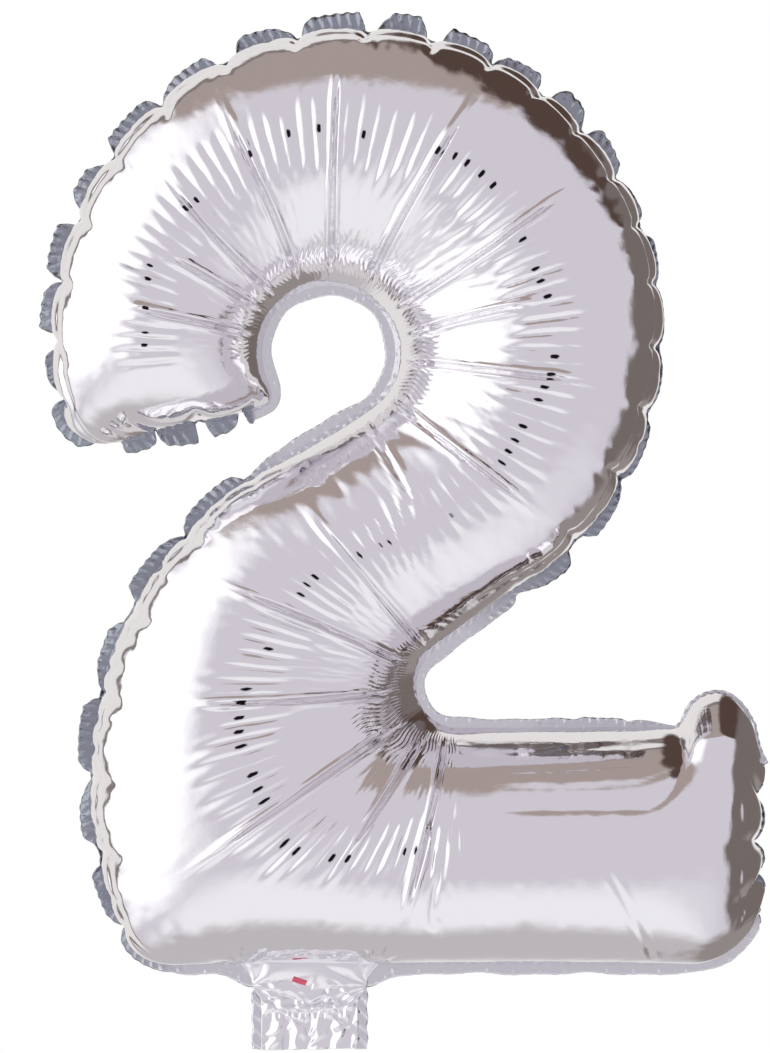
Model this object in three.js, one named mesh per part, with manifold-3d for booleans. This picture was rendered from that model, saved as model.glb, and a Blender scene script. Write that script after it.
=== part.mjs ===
// A foil number balloon in the shape of a 2, inflated, with its filling tail at the bottom.
//
// Frame, in millimetres: +Z is up, the front of the digit faces -Y, and the origin is the spot on
// the crown of the back panel that lies flat against a wall.
//
// The digit is one stroke. It starts at the tip of the hook, goes over the bowl and down the waist,
// turns round the crotch and ends at the toe of the foot. Its seam line has a port edge and a
// starboard edge, on the left and the right hand of the stroke's travel, and both panels are domed
// shells between these two edges. The outline is drawn in a plan of its own, with the centre of the
// crotch at (0, 0), and the whole group is moved at the end so that the wall spot is the origin.

import * as THREE from "three";
import { mergeVertices } from "three/addons/utils/BufferGeometryUtils.js";
import Module from "manifold-3d";

// The seam line, seen from the front
const BOWL_RADIUS = 102;
const HOOK_RADIUS = 22.5;
const HOOK_OFFSET = new THREE.Vector2(-10, -6.5);
const HOOK_TIP_ANGLE = 203;
const HOOK_TIP_REACH = new THREE.Vector2(7, -8);
const CROTCH_RADIUS = 14;
const HEEL_RADIUS = 121.5;
const HEEL_CORNER_RADIUS = 21;
const WAIST_LENGTH_PORT = 44;
const WAIST_LENGTH_STARBOARD = 38.5;
const WAIST_LEAN = 105.7;
const HEEL_LEAN = -74.1;
const FOOT_HEIGHT = 80;
const FOOT_LENGTH = 99.5;

// The inflated form
const DEPTH = 76;
const FULL_STROKE = 70;
const END_ROUNDING = 42;
const CORNER_ROUNDING = 12;
const CROWN_POWER = 0.55;
const FILM = 0.6;

// The heat-sealed edge, the tail and the valve
const SEAM_WIDTH = 6.5;
const SEAM_THICKNESS = 0.8;
const TAIL_CENTRE = -50;
const TAIL_WIDTH = 39;
const TAIL_LENGTH = 28.6;
const TAIL_SEAM_WIDTH = 4;
const TAIL_FOLD_DROP = 2.3;
const TAIL_SETBACK = 1.7;
const PLY = 0.4;
const PLY_SPACE = 0.4;
const VALVE_CLEARANCE = 1.5;
const VALVE_WIDTH = TAIL_WIDTH - 2 * (TAIL_SEAM_WIDTH + VALVE_CLEARANCE);
const VALVE_MOUTH_SETBACK = 7;
const LEAF_LENGTH = 52;
const MARK_SIZE = new THREE.Vector3(5.2, 0.2, 1.6);
const MARK_DROP = 0.6;
const MARK_SHIFT = -3.4;
const GAP = 0.3;

// How many rows of facets run along each stretch of the stroke, and how many across it
const TIP_ROWS = 5;
const BOWL_ROWS = 34;
const WAIST_ROWS = 7;
const TURN_ROWS = 20;
const FOOT_ROWS = 12;
const ACROSS = 13;

const wasm = await Module();
wasm.setup();

const foil = new THREE.MeshStandardMaterial({ color: 0xdad9dc, roughness: 0.12, metalness: 1 });
const sealedFoil = new THREE.MeshStandardMaterial({ color: 0xb9bbc0, roughness: 0.3, metalness: 1 });
const clearFilm = new THREE.MeshStandardMaterial({ color: 0xe6e9ec, roughness: 0.25, metalness: 0 });
const redInk = new THREE.MeshStandardMaterial({ color: 0xd8324f, roughness: 0.5, metalness: 0 });

const radians = THREE.MathUtils.degToRad;
const around = (centre, radius, degrees) =>
  new THREE.Vector2(Math.cos(radians(degrees)), Math.sin(radians(degrees)))
    .multiplyScalar(radius)
    .add(centre);

function arc(centre, radius, from, to) {
  const clockwise = to < from;
  return new THREE.EllipseCurve(
    centre.x, centre.y, radius, radius, radians(from), radians(to), clockwise,
  );
}

function joined(...curves) {
  const path = new THREE.CurvePath();
  curves.forEach((curve) => path.add(curve));
  return path;
}

// The centre of a circle that a straight run of a given length joins to another circle crosswise
function acrossWaist(centre, radii, run, lean) {
  return around(centre, Math.hypot(radii, run), lean);
}

// The four circles of the outline, each placed from its neighbour
const crotch = new THREE.Vector2(0, 0);
const bowl = acrossWaist(crotch, BOWL_RADIUS + CROTCH_RADIUS, WAIST_LENGTH_PORT, WAIST_LEAN);
const hook = bowl.clone().add(HOOK_OFFSET);
const heel = acrossWaist(hook, HOOK_RADIUS + HEEL_RADIUS, WAIST_LENGTH_STARBOARD, HEEL_LEAN);
const footTop = -CROTCH_RADIUS;
const footBottom = footTop - FOOT_HEIGHT;
const heelCorner = new THREE.Vector2(0, footBottom + HEEL_CORNER_RADIUS);
heelCorner.x = heel.x - Math.sqrt((HEEL_RADIUS - HEEL_CORNER_RADIUS) ** 2 - (heel.y - heelCorner.y) ** 2);

// Where each arc of the outline starts and ends, in degrees
const portTangent =
  WAIST_LEAN - 180 + THREE.MathUtils.radToDeg(Math.atan(WAIST_LENGTH_PORT / (BOWL_RADIUS + CROTCH_RADIUS)));
const starboardTangent =
  HEEL_LEAN + THREE.MathUtils.radToDeg(Math.atan(WAIST_LENGTH_STARBOARD / (HOOK_RADIUS + HEEL_RADIUS)));
const heelEnd =
  180 + THREE.MathUtils.radToDeg(Math.atan2(heel.y - heelCorner.y, heel.x - heelCorner.x));
const BOWL_START = 188;
const HOOK_START = 186;
const HOOK_END = -25;
const DOWN = 270;

const hookStart = around(hook, HOOK_RADIUS, HOOK_START);
const hookTip = around(hook, HOOK_RADIUS, HOOK_TIP_ANGLE).add(HOOK_TIP_REACH);
const hookLead = hookStart.clone().add(around(crotch, HOOK_RADIUS / 2, HOOK_START + 90));

// Each stretch of the stroke: its port edge, its starboard edge and its rows
const stretches = [
  {
    port: arc(bowl, BOWL_RADIUS, HOOK_TIP_ANGLE, BOWL_START),
    starboard: new THREE.QuadraticBezierCurve(hookTip, hookLead, hookStart),
    rows: TIP_ROWS,
  },
  {
    port: arc(bowl, BOWL_RADIUS, BOWL_START, portTangent),
    starboard: arc(hook, HOOK_RADIUS, HOOK_START, HOOK_END),
    rows: BOWL_ROWS,
  },
  {
    port: new THREE.LineCurve(
      around(bowl, BOWL_RADIUS, portTangent),
      around(crotch, CROTCH_RADIUS, portTangent + 180),
    ),
    starboard: joined(
      arc(hook, HOOK_RADIUS, HOOK_END, starboardTangent),
      new THREE.LineCurve(
        around(hook, HOOK_RADIUS, starboardTangent),
        around(heel, HEEL_RADIUS, starboardTangent + 180),
      ),
    ),
    rows: WAIST_ROWS,
  },
  {
    port: arc(crotch, CROTCH_RADIUS, portTangent + 180, DOWN),
    starboard: joined(
      arc(heel, HEEL_RADIUS, starboardTangent + 180, heelEnd),
      arc(heelCorner, HEEL_CORNER_RADIUS, heelEnd, DOWN),
      new THREE.LineCurve(new THREE.Vector2(heelCorner.x, footBottom), new THREE.Vector2(0, footBottom)),
    ),
    rows: TURN_ROWS,
  },
  {
    port: new THREE.LineCurve(new THREE.Vector2(0, footTop), new THREE.Vector2(FOOT_LENGTH, footTop)),
    starboard: new THREE.LineCurve(
      new THREE.Vector2(0, footBottom),
      new THREE.Vector2(FOOT_LENGTH, footBottom),
    ),
    rows: FOOT_ROWS,
  },
];

// The ribs: straight lines across the stroke, from its port edge to its starboard edge
function makeRibs() {
  const ribs = [];
  stretches.forEach(({ port, starboard, rows }, which) => {
    for (let k = which === 0 ? 0 : 1; k <= rows; k++) {
      const a = port.getPointAt(k / rows);
      const b = starboard.getPointAt(k / rows);
      const middle = a.clone().add(b).multiplyScalar(0.5);
      ribs.push({ middle, half: a.clone().sub(b).multiplyScalar(0.5), width: a.distanceTo(b) });
    }
  });
  let travelled = 0;
  ribs.forEach((rib, i) => {
    travelled += i === 0 ? 0 : rib.middle.distanceTo(ribs[i - 1].middle);
    rib.fromTip = travelled;
  });
  ribs.forEach((rib) => {
    rib.toEnd = Math.min(rib.fromTip, travelled - rib.fromTip);
  });
  return ribs;
}

const ribs = makeRibs();
const lastRib = ribs.length - 1;
const across = Array.from({ length: ACROSS + 1 }, (_, j) => Math.cos((Math.PI * j) / ACROSS));
const dome = (v) => (1 - v * v) ** CROWN_POWER;
const flatCrown = dome(across[(ACROSS - 1) / 2]);

// How far a rounded end has risen, as a share, at a distance from that end
function endRise(distance) {
  const left = Math.max(0, 1 - distance / END_ROUNDING);
  return (1 - left * left) ** CROWN_POWER;
}

// A point of the dome in plan and its height above the seam line, on a surface set in by a wall
function domePoint(i, j, wall) {
  const rib = ribs[i];
  const v = across[j];
  const cut = Math.max(0, CORNER_ROUNDING - rib.toEnd);
  const rounded = CORNER_ROUNDING - Math.sqrt(CORNER_ROUNDING ** 2 - cut ** 2);
  const share = (rib.width / 2 - rounded - wall) / (rib.width / 2);
  const plan = rib.middle.clone().addScaledVector(rib.half, v * share);
  if (i === 0 || i === lastRib) {
    const next = ribs[i === 0 ? 1 : lastRib - 1].middle;
    plan.addScaledVector(next.clone().sub(rib.middle).normalize(), wall);
  }
  const half = (DEPTH / 2) * Math.sqrt(Math.min(1, rib.width / FULL_STROKE)) - wall;
  const height = half * Math.min(1, dome(v) / flatCrown) * endRise(rib.toEnd);
  return new THREE.Vector3(plan.x, Math.max(0, height), plan.y);
}

// Turns points and quads into a geometry of flat triangles
function geometryFrom(points, quads) {
  const index = quads.flatMap(([a, b, c, d]) => [a, b, c, a, c, d]);
  const geometry = new THREE.BufferGeometry().setFromPoints(points);
  geometry.setIndex(index);
  return geometry;
}

// The vertex numbers round the rim of a grid, in the order port edge, toe, starboard edge, tip
function rimOf(columns) {
  const at = (i, j) => i * columns + j;
  const rim = [];
  for (let i = 0; i < lastRib; i++) rim.push(at(i, 0));
  for (let j = 0; j < ACROSS; j++) rim.push(at(lastRib, j));
  for (let i = lastRib; i > 0; i--) rim.push(at(i, ACROSS));
  for (let j = ACROSS; j > 0; j--) rim.push(at(0, j));
  return rim;
}

// One domed panel: an outer and an inner surface, closed along the seam line
function panelShell(side) {
  const columns = ACROSS + 1;
  const points = [];
  for (const wall of [0, FILM])
    for (let i = 0; i <= lastRib; i++)
      for (let j = 0; j <= ACROSS; j++) {
        const p = domePoint(i, j, wall);
        points.push(p.setY(side * (GAP / 2 + p.y)));
      }
  const inner = ribs.length * columns;
  const quads = [];
  for (let i = 0; i < lastRib; i++)
    for (let j = 0; j < ACROSS; j++) {
      const outer = [i, i + 1, i + 1, i].map((row, k) => row * columns + j + (k > 1 ? 1 : 0));
      quads.push(outer, outer.map((n) => n + inner).reverse());
    }
  const rim = rimOf(columns);
  rim.forEach((n, k) => {
    const next = rim[(k + 1) % rim.length];
    quads.push([next, n, n + inner, next + inner]);
  });
  return geometryFrom(points, side < 0 ? quads.map((q) => q.reverse()) : quads);
}

// The sealed band round the outline, as a closed ring that lies in the seam plane
function seamRing() {
  const rim = rimOf(ACROSS + 1).map((n) => {
    const p = domePoint(Math.floor(n / (ACROSS + 1)), n % (ACROSS + 1), 0);
    return new THREE.Vector2(p.x, p.z);
  });
  const count = rim.length;
  const outward = rim.map((p, k) => {
    const along = rim[(k + 1) % count].clone().sub(rim[(k + count - 1) % count]).normalize();
    return new THREE.Vector2(-along.y, along.x);
  });
  const half = SEAM_THICKNESS / 2;
  const corners = [
    [GAP, -half],
    [SEAM_WIDTH, -half],
    [SEAM_WIDTH, half],
    [GAP, half],
  ];
  const points = rim.flatMap((p, k) =>
    corners.map(([out, y]) => {
      const q = p.clone().addScaledVector(outward[k], out);
      return new THREE.Vector3(q.x, y, q.y);
    }),
  );
  const quads = rim.flatMap((_, k) =>
    corners.map((__, c) => {
      const d = (c + 1) % corners.length;
      const next = ((k + 1) % count) * corners.length;
      const here = k * corners.length;
      return [here + d, here + c, next + c, next + d];
    }),
  );
  return geometryFrom(points, quads);
}

// A block given by its middle across X, its two faces in Y and its two ends in Z
function block(centreX, width, fromY, toY, fromZ, toZ) {
  const geometry = new THREE.BoxGeometry(width, Math.abs(toY - fromY), Math.abs(toZ - fromZ));
  return geometry.translate(centreX, (fromY + toY) / 2, (fromZ + toZ) / 2);
}

function solidOf(geometry) {
  const bare = geometry.clone();
  bare.deleteAttribute("normal");
  bare.deleteAttribute("uv");
  const merged = mergeVertices(bare, 1e-4);
  return new wasm.Manifold(
    new wasm.Mesh({
      numProp: 3,
      vertProperties: merged.attributes.position.array,
      triVerts: new Uint32Array(merged.index.array),
    }),
  );
}

function geometryOf(solid) {
  const mesh = solid.getMesh();
  const geometry = new THREE.BufferGeometry();
  geometry.setAttribute("position", new THREE.BufferAttribute(mesh.vertProperties, 3));
  geometry.setIndex(new THREE.BufferAttribute(mesh.triVerts, 1));
  return geometry;
}

const part = new THREE.Group();

function addPart(name, geometry, material) {
  const mesh = new THREE.Mesh(geometry, material);
  mesh.name = name;
  part.add(mesh);
}

// The layers of the tail, from the middle plane outwards
const plyInside = PLY_SPACE / 2;
const plyOutside = plyInside + PLY;
const filmInside = plyOutside + GAP;
const filmOutside = filmInside + FILM;
const foldLine = footBottom - TAIL_FOLD_DROP;
const tailTop = foldLine - TAIL_SETBACK;
const tailMouth = footBottom - TAIL_LENGTH;

// A panel with the short lip that leads into the tail, and the slot that lets the valve through
function panel(name, side) {
  const lip = block(
    TAIL_CENTRE, TAIL_WIDTH, side * filmInside, side * filmOutside, foldLine + GAP, footBottom + FILM,
  );
  const slot = block(
    TAIL_CENTRE, VALVE_WIDTH + 2 * GAP, -filmInside, filmInside, foldLine, footBottom + 2 * FILM,
  );
  const solid = solidOf(panelShell(side)).add(solidOf(lip)).subtract(solidOf(slot));
  addPart(name, geometryOf(solid), foil);
}

function edgeSeam() {
  const neck = block(
    TAIL_CENTRE, TAIL_WIDTH + 2 * GAP, -filmOutside, filmOutside,
    footBottom - 2 * SEAM_WIDTH, footBottom + FILM,
  );
  addPart("edge_seam", geometryOf(solidOf(seamRing()).subtract(solidOf(neck))), sealedFoil);
}

function tailFilm(name, side) {
  const width = TAIL_WIDTH - 2 * (TAIL_SEAM_WIDTH + GAP);
  const film = block(TAIL_CENTRE, width, side * filmInside, side * filmOutside, tailMouth, tailTop);
  addPart(name, film, foil);
}

function tailSeam(name, side) {
  const middle = TAIL_CENTRE + side * (TAIL_WIDTH - TAIL_SEAM_WIDTH) / 2;
  const strip = block(middle, TAIL_SEAM_WIDTH, -filmOutside, filmOutside, tailMouth, tailTop);
  addPart(name, strip, sealedFoil);
}

function valveInlet(name, side) {
  const ply = block(
    TAIL_CENTRE, VALVE_WIDTH, side * plyInside, side * plyOutside,
    tailMouth + VALVE_MOUTH_SETBACK, tailTop,
  );
  addPart(name, ply, clearFilm);
}

function valveLeaf(name, side) {
  const leaf = block(
    TAIL_CENTRE, VALVE_WIDTH, side * plyInside, side * plyOutside, footBottom, footBottom + LEAF_LENGTH,
  );
  addPart(name, leaf, clearFilm);
}

function fillMark() {
  const face = -(filmOutside + GAP);
  const patch = block(
    TAIL_CENTRE + MARK_SHIFT, MARK_SIZE.x, face - MARK_SIZE.y, face,
    tailTop - MARK_DROP - MARK_SIZE.z, tailTop - MARK_DROP,
  );
  addPart("fill_mark", patch, redInk);
}

const FRONT = -1;
const BACK = 1;
panel("front_panel", FRONT);
panel("back_panel", BACK);
edgeSeam();
tailFilm("tail_front_film", FRONT);
tailFilm("tail_back_film", BACK);
tailSeam("tail_seam_left", -1);
tailSeam("tail_seam_right", 1);
valveInlet("valve_inlet_front_ply", FRONT);
valveInlet("valve_inlet_back_ply", BACK);
valveLeaf("valve_front_leaf", FRONT);
valveLeaf("valve_back_leaf", BACK);
fillMark();

// The wall spot: a point of the flat crown of the back panel, halfway down the waist
const crownRow = (ACROSS - 1) / 2;
const spotRib = TIP_ROWS + BOWL_ROWS + Math.floor(WAIST_ROWS / 2);
const wallSpot = domePoint(spotRib, crownRow, 0)
  .add(domePoint(spotRib + 1, crownRow, 0))
  .add(domePoint(spotRib + 1, crownRow + 1, 0))
  .divideScalar(3);
part.position.set(-wallSpot.x, -(wallSpot.y + GAP / 2), -wallSpot.z);

export default part;
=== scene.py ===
# A silver foil balloon in the shape of a 2, blown up, with its filling tail hanging at the neck.
#
# The two panels are metallised film. One sheet on the digit's outline is blown up by cloth
# simulation, which gives the bulge of the stroke and of the puffs along the seam, and the other is
# its mirror image. The pleats, folds and puckers are too fine for the simulation and are added to
# the mesh after it. The sealed band, the tail and the valve are modelled round them.

import math

import bpy
import numpy as np
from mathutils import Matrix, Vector


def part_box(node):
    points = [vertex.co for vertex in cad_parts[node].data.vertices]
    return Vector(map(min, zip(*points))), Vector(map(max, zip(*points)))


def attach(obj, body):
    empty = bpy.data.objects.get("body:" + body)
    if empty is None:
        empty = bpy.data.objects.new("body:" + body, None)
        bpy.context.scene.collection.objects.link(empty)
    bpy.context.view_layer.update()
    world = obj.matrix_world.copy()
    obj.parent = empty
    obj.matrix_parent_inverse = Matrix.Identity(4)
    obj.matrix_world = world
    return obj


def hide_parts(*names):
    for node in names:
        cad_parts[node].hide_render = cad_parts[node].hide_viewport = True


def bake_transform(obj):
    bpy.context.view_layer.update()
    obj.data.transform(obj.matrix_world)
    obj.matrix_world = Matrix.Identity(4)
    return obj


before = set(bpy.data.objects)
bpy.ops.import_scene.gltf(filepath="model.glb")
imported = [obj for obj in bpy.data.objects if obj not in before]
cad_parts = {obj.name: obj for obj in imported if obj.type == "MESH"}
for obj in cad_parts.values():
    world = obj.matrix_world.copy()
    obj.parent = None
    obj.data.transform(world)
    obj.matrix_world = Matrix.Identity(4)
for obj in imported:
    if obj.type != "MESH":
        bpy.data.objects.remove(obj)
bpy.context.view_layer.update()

MM = 0.001

# The outline, in millimetres, drawn round the centre of the crotch
BOWL_RADIUS = 102
HOOK_RADIUS = 22.5
HOOK_OFFSET = (-10, -6.5)
HOOK_TIP_ANGLE = 203
HOOK_TIP_REACH = (7, -8)
HOOK_START = 186
HOOK_END = -25
BOWL_START = 188
CROTCH_RADIUS = 14
HEEL_RADIUS = 121.5
HEEL_CORNER_RADIUS = 21
WAIST_LENGTH_PORT = 44
WAIST_LENGTH_STARBOARD = 38.5
WAIST_LEAN = 105.7
HEEL_LEAN = -74.1
FOOT_HEIGHT = 80
FOOT_LENGTH = 99.5
SEAM_WIDTH = 6.5
CORNER_ROUNDING = 12
HEEL_SIDE_ROUNDING = 22
END_ROUNDING = 42
HALF_DEPTH = 38

# Where the drawing sits in the part's frame: measured from the sealed band of the frame
band_low, band_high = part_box("edge_seam")
panel_low, panel_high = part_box("front_panel")
SEAM_Y = (band_low.y + band_high.y) / 2 / MM
FOOT_BOTTOM = band_low.z / MM + SEAM_WIDTH
CROTCH_X = panel_high.x / MM - FOOT_LENGTH
CROTCH_Z = FOOT_BOTTOM + FOOT_HEIGHT + CROTCH_RADIUS
TAIL_X = tuple(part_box(n)[k].x / MM for n, k in (("tail_seam_left", 0), ("tail_seam_right", 1)))


# ---------------------------------------------------------------- helpers


def deselect():
    if bpy.context.object and bpy.context.object.mode != "OBJECT":
        bpy.ops.object.mode_set(mode="OBJECT")
    bpy.ops.object.select_all(action="DESELECT")


def pick(obj):
    deselect()
    obj.select_set(True)
    bpy.context.view_layer.objects.active = obj


def place(obj):
    """Leaves the piece's place in its mesh and the object at the origin."""
    pick(obj)
    bpy.ops.object.transform_apply(location=True, rotation=True, scale=True)


def coords(obj):
    co = np.empty(len(obj.data.vertices) * 3, np.float32)
    obj.data.vertices.foreach_get("co", co)
    return co.reshape(-1, 3).astype(float)


def set_coords(obj, co):
    obj.data.vertices.foreach_set("co", np.asarray(co, np.float32).ravel())
    obj.data.update()


def smooth(obj):
    pick(obj)
    bpy.ops.object.shade_smooth()


def stepped(values, start, full):
    """0 before start, 1 past full, and a smooth step between them."""
    t = np.clip((values - start) / (full - start), 0, 1)
    return t * t * (3 - 2 * t)


def apply_all(obj):
    pick(obj)
    for m in list(obj.modifiers):
        bpy.ops.object.modifier_apply(modifier=m.name)


def sheet_from(name, points, lengths):
    """A grid primitive laid on a table of points, with a UV map in metres of film."""
    rows, columns = points.shape[:2]
    deselect()
    bpy.ops.mesh.primitive_grid_add(x_subdivisions=rows - 1, y_subdivisions=columns - 1, size=1)
    obj = bpy.context.object
    obj.name = obj.data.name = name
    at = coords(obj)
    i = np.rint((at[:, 0] + 0.5) * (rows - 1)).astype(int)
    j = np.rint((at[:, 1] + 0.5) * (columns - 1)).astype(int)
    uv_map = obj.data.uv_layers.active
    loops = np.empty(len(obj.data.loops), np.int32)
    obj.data.loops.foreach_get("vertex_index", loops)
    uv = lengths[i[loops], j[loops]]
    uv_map.data.foreach_set("uv", uv.astype(np.float32).ravel())
    set_coords(obj, points[i, j])
    return obj, i, j


def face_towards(obj, direction):
    """Turns the faces over if they look away from a direction."""
    obj.data.update()
    normals = np.empty(len(obj.data.polygons) * 3, np.float32)
    obj.data.polygons.foreach_get("normal", normals)
    if (normals.reshape(-1, 3) @ np.array(direction, float)).sum() < 0:
        pick(obj)
        bpy.ops.object.mode_set(mode="EDIT")
        bpy.ops.mesh.select_all(action="SELECT")
        bpy.ops.mesh.flip_normals()
        bpy.ops.object.mode_set(mode="OBJECT")


# ---------------------------------------------------------------- the outline


def polar(centre, radius, degrees):
    a = math.radians(degrees)
    return np.array([centre[0] + radius * math.cos(a), centre[1] + radius * math.sin(a)])


def arc(centre, radius, start, end, count=600):
    a = np.radians(np.linspace(start, end, count))
    return np.stack([centre[0] + radius * np.cos(a), centre[1] + radius * np.sin(a)], 1)


def line(start, end, count=60):
    t = np.linspace(0, 1, count)[:, None]
    return np.array(start, float) * (1 - t) + np.array(end, float) * t


def bend_of(a, b, c, count=60):
    t = np.linspace(0, 1, count)[:, None]
    return (1 - t) ** 2 * a + 2 * t * (1 - t) * b + t * t * c


def joined(first, *rest):
    return np.concatenate([first] + [r[1:] for r in rest])


def travelled(points):
    steps = np.linalg.norm(np.diff(points, axis=0), axis=-1)
    return np.concatenate([[0], np.cumsum(steps)])


def evenly(points, count):
    d = travelled(points)
    t = np.linspace(0, d[-1], count + 1)
    return np.stack([np.interp(t, d, points[:, k]) for k in (0, 1)], 1)


def centres():
    """The middles of the crotch, the bowl's outer arc, the hook and the heel's arc."""
    crotch = np.zeros(2)
    bowl = polar(crotch, math.hypot(BOWL_RADIUS + CROTCH_RADIUS, WAIST_LENGTH_PORT), WAIST_LEAN)
    hook = bowl + np.array(HOOK_OFFSET)
    heel = polar(hook, math.hypot(HOOK_RADIUS + HEEL_RADIUS, WAIST_LENGTH_STARBOARD), HEEL_LEAN)
    return crotch, bowl, hook, heel


def stretches():
    """The port and the starboard edge of each stretch of the stroke, from the hook to the toe."""
    crotch, bowl, hook, heel = centres()
    top = -CROTCH_RADIUS
    bottom = top - FOOT_HEIGHT
    corner = np.array([0.0, bottom + HEEL_CORNER_RADIUS])
    reach = HEEL_RADIUS - HEEL_CORNER_RADIUS
    corner[0] = heel[0] - math.sqrt(reach**2 - (heel[1] - corner[1]) ** 2)
    port_turn = math.atan(WAIST_LENGTH_PORT / (BOWL_RADIUS + CROTCH_RADIUS))
    port = WAIST_LEAN - 180 + math.degrees(port_turn)
    starboard_turn = math.atan(WAIST_LENGTH_STARBOARD / (HOOK_RADIUS + HEEL_RADIUS))
    starboard = HEEL_LEAN + math.degrees(starboard_turn)
    heel_end = 180 + math.degrees(math.atan2(heel[1] - corner[1], heel[0] - corner[0]))
    hook_start = polar(hook, HOOK_RADIUS, HOOK_START)
    hook_tip = polar(hook, HOOK_RADIUS, HOOK_TIP_ANGLE) + np.array(HOOK_TIP_REACH)
    hook_lead = hook_start + polar((0, 0), HOOK_RADIUS / 2, HOOK_START + 90)
    return [
        (
            arc(bowl, BOWL_RADIUS, HOOK_TIP_ANGLE, BOWL_START),
            bend_of(hook_tip, hook_lead, hook_start),
        ),
        (
            arc(bowl, BOWL_RADIUS, BOWL_START, port),
            arc(hook, HOOK_RADIUS, HOOK_START, HOOK_END),
        ),
        (
            line(polar(bowl, BOWL_RADIUS, port), polar(crotch, CROTCH_RADIUS, port + 180)),
            joined(
                arc(hook, HOOK_RADIUS, HOOK_END, starboard),
                line(
                    polar(hook, HOOK_RADIUS, starboard),
                    polar(heel, HEEL_RADIUS, starboard + 180),
                ),
            ),
        ),
        (
            arc(crotch, CROTCH_RADIUS, port + 180, 270),
            joined(
                arc(heel, HEEL_RADIUS, starboard + 180, heel_end),
                arc(corner, HEEL_CORNER_RADIUS, heel_end, 270),
                line((corner[0], bottom), (0, bottom)),
            ),
        ),
        (line((0, top), (FOOT_LENGTH, top)), line((0, bottom), (FOOT_LENGTH, bottom))),
    ]


# ---------------------------------------------------------------- the stroke

RIB_SPACING = 2.0
ACROSS = 48

port_edge, starboard_edge, stretch_of = [], [], []
for number, (port, starboard) in enumerate(stretches()):
    rows = round(max(travelled(port)[-1], travelled(starboard)[-1]) / RIB_SPACING)
    skip = 0 if number == 0 else 1
    port_edge.append(evenly(port, rows)[skip:])
    starboard_edge.append(evenly(starboard, rows)[skip:])
    stretch_of.append(np.full(rows + 1 - skip, number))
port_edge = np.concatenate(port_edge)
starboard_edge = np.concatenate(starboard_edge)
stretch_of = np.concatenate(stretch_of)
rib_count = len(port_edge)
middle = (port_edge + starboard_edge) / 2
width = np.linalg.norm(port_edge - starboard_edge, axis=1)
to_port = (port_edge - starboard_edge) / width[:, None]
along = travelled(middle)
stroke_length = along[-1]
to_end = np.minimum(along, stroke_length - along)
spread = np.linspace(1, -1, ACROSS + 1)
across = spread + 0.13 * np.sin(math.pi * spread)  # closer together beside the seams


def eased(values, reach=30):
    """Values along the stroke, blended over the ribs beside each one."""
    weights = np.hanning(2 * reach + 1)
    return np.convolve(np.pad(values, reach, "edge"), weights / weights.sum(), "valid")


# 1 where the port edge is the outer one of a curve, 0 where the starboard edge is
outer_is_port = eased(np.choose(stretch_of, [1.0, 1.0, 0.5, 0.0, 0.5]))
HEEL_STRETCH = 3  # the stretch round the heel, whose end is where the foot starts

# The seam's puffs, one after another along each edge: their lengths, and how deep the notches are
BOWL_PUFF, HEEL_PUFF, TOE_PUFF, TIP_PUFF = 22.0, 27.0, 22.0, 22.0
NOTCH_DEPTH = 1.9
TOE_SWELL = 2.6
TOE_LOBES, TIP_LOBES = 2.6, 1.7  # how much deeper the notches of the two ends are than the others


def scallop(turns):
    """How far a seam stands out: long round puffs between narrow notches, one puff to a turn."""
    return NOTCH_DEPTH * (np.abs(np.sin(math.pi * turns)) ** 0.4 - 0.75)


port_run, starboard_run = travelled(port_edge), travelled(starboard_edge)
port_curl = np.clip((outer_is_port - 0.4) / 0.4, 0, 1)
starboard_curl = np.clip((0.6 - outer_is_port) / 0.4, 0, 1) * (stretch_of == HEEL_STRETCH)
starboard_curl *= starboard_edge[:, 1] > 1.5 - CROTCH_RADIUS - FOOT_HEIGHT
starboard_curl = eased(starboard_curl, 8)
puffed_rib = np.maximum(port_curl, starboard_curl)
port_turns = port_run / BOWL_PUFF + 0.35 * np.sin(port_run / 47)
starboard_turns = starboard_run / HEEL_PUFF + 0.3 * np.sin(starboard_run / 61)
port_puff = scallop(port_turns) * port_curl
starboard_puff = scallop(starboard_turns) * starboard_curl
# The puffed corner where the toe's seam meets the top of the foot
KNOB_HEIGHT, KNOB_REACH, KNOB_RISE = 12.0, 12.0, 8.0
KNOB_FROM_TOE = 12.0
knob = np.clip(1 - ((stroke_length - along - KNOB_FROM_TOE) / KNOB_REACH) ** 2, 0, None) ** 0.5
port_puff += KNOB_HEIGHT * knob
toe_turns = (1 - across) * width[-1] / 2 / TOE_PUFF + 0.3
tip_turns = (1 - across) * width[0] / 2 / TIP_PUFF


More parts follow.
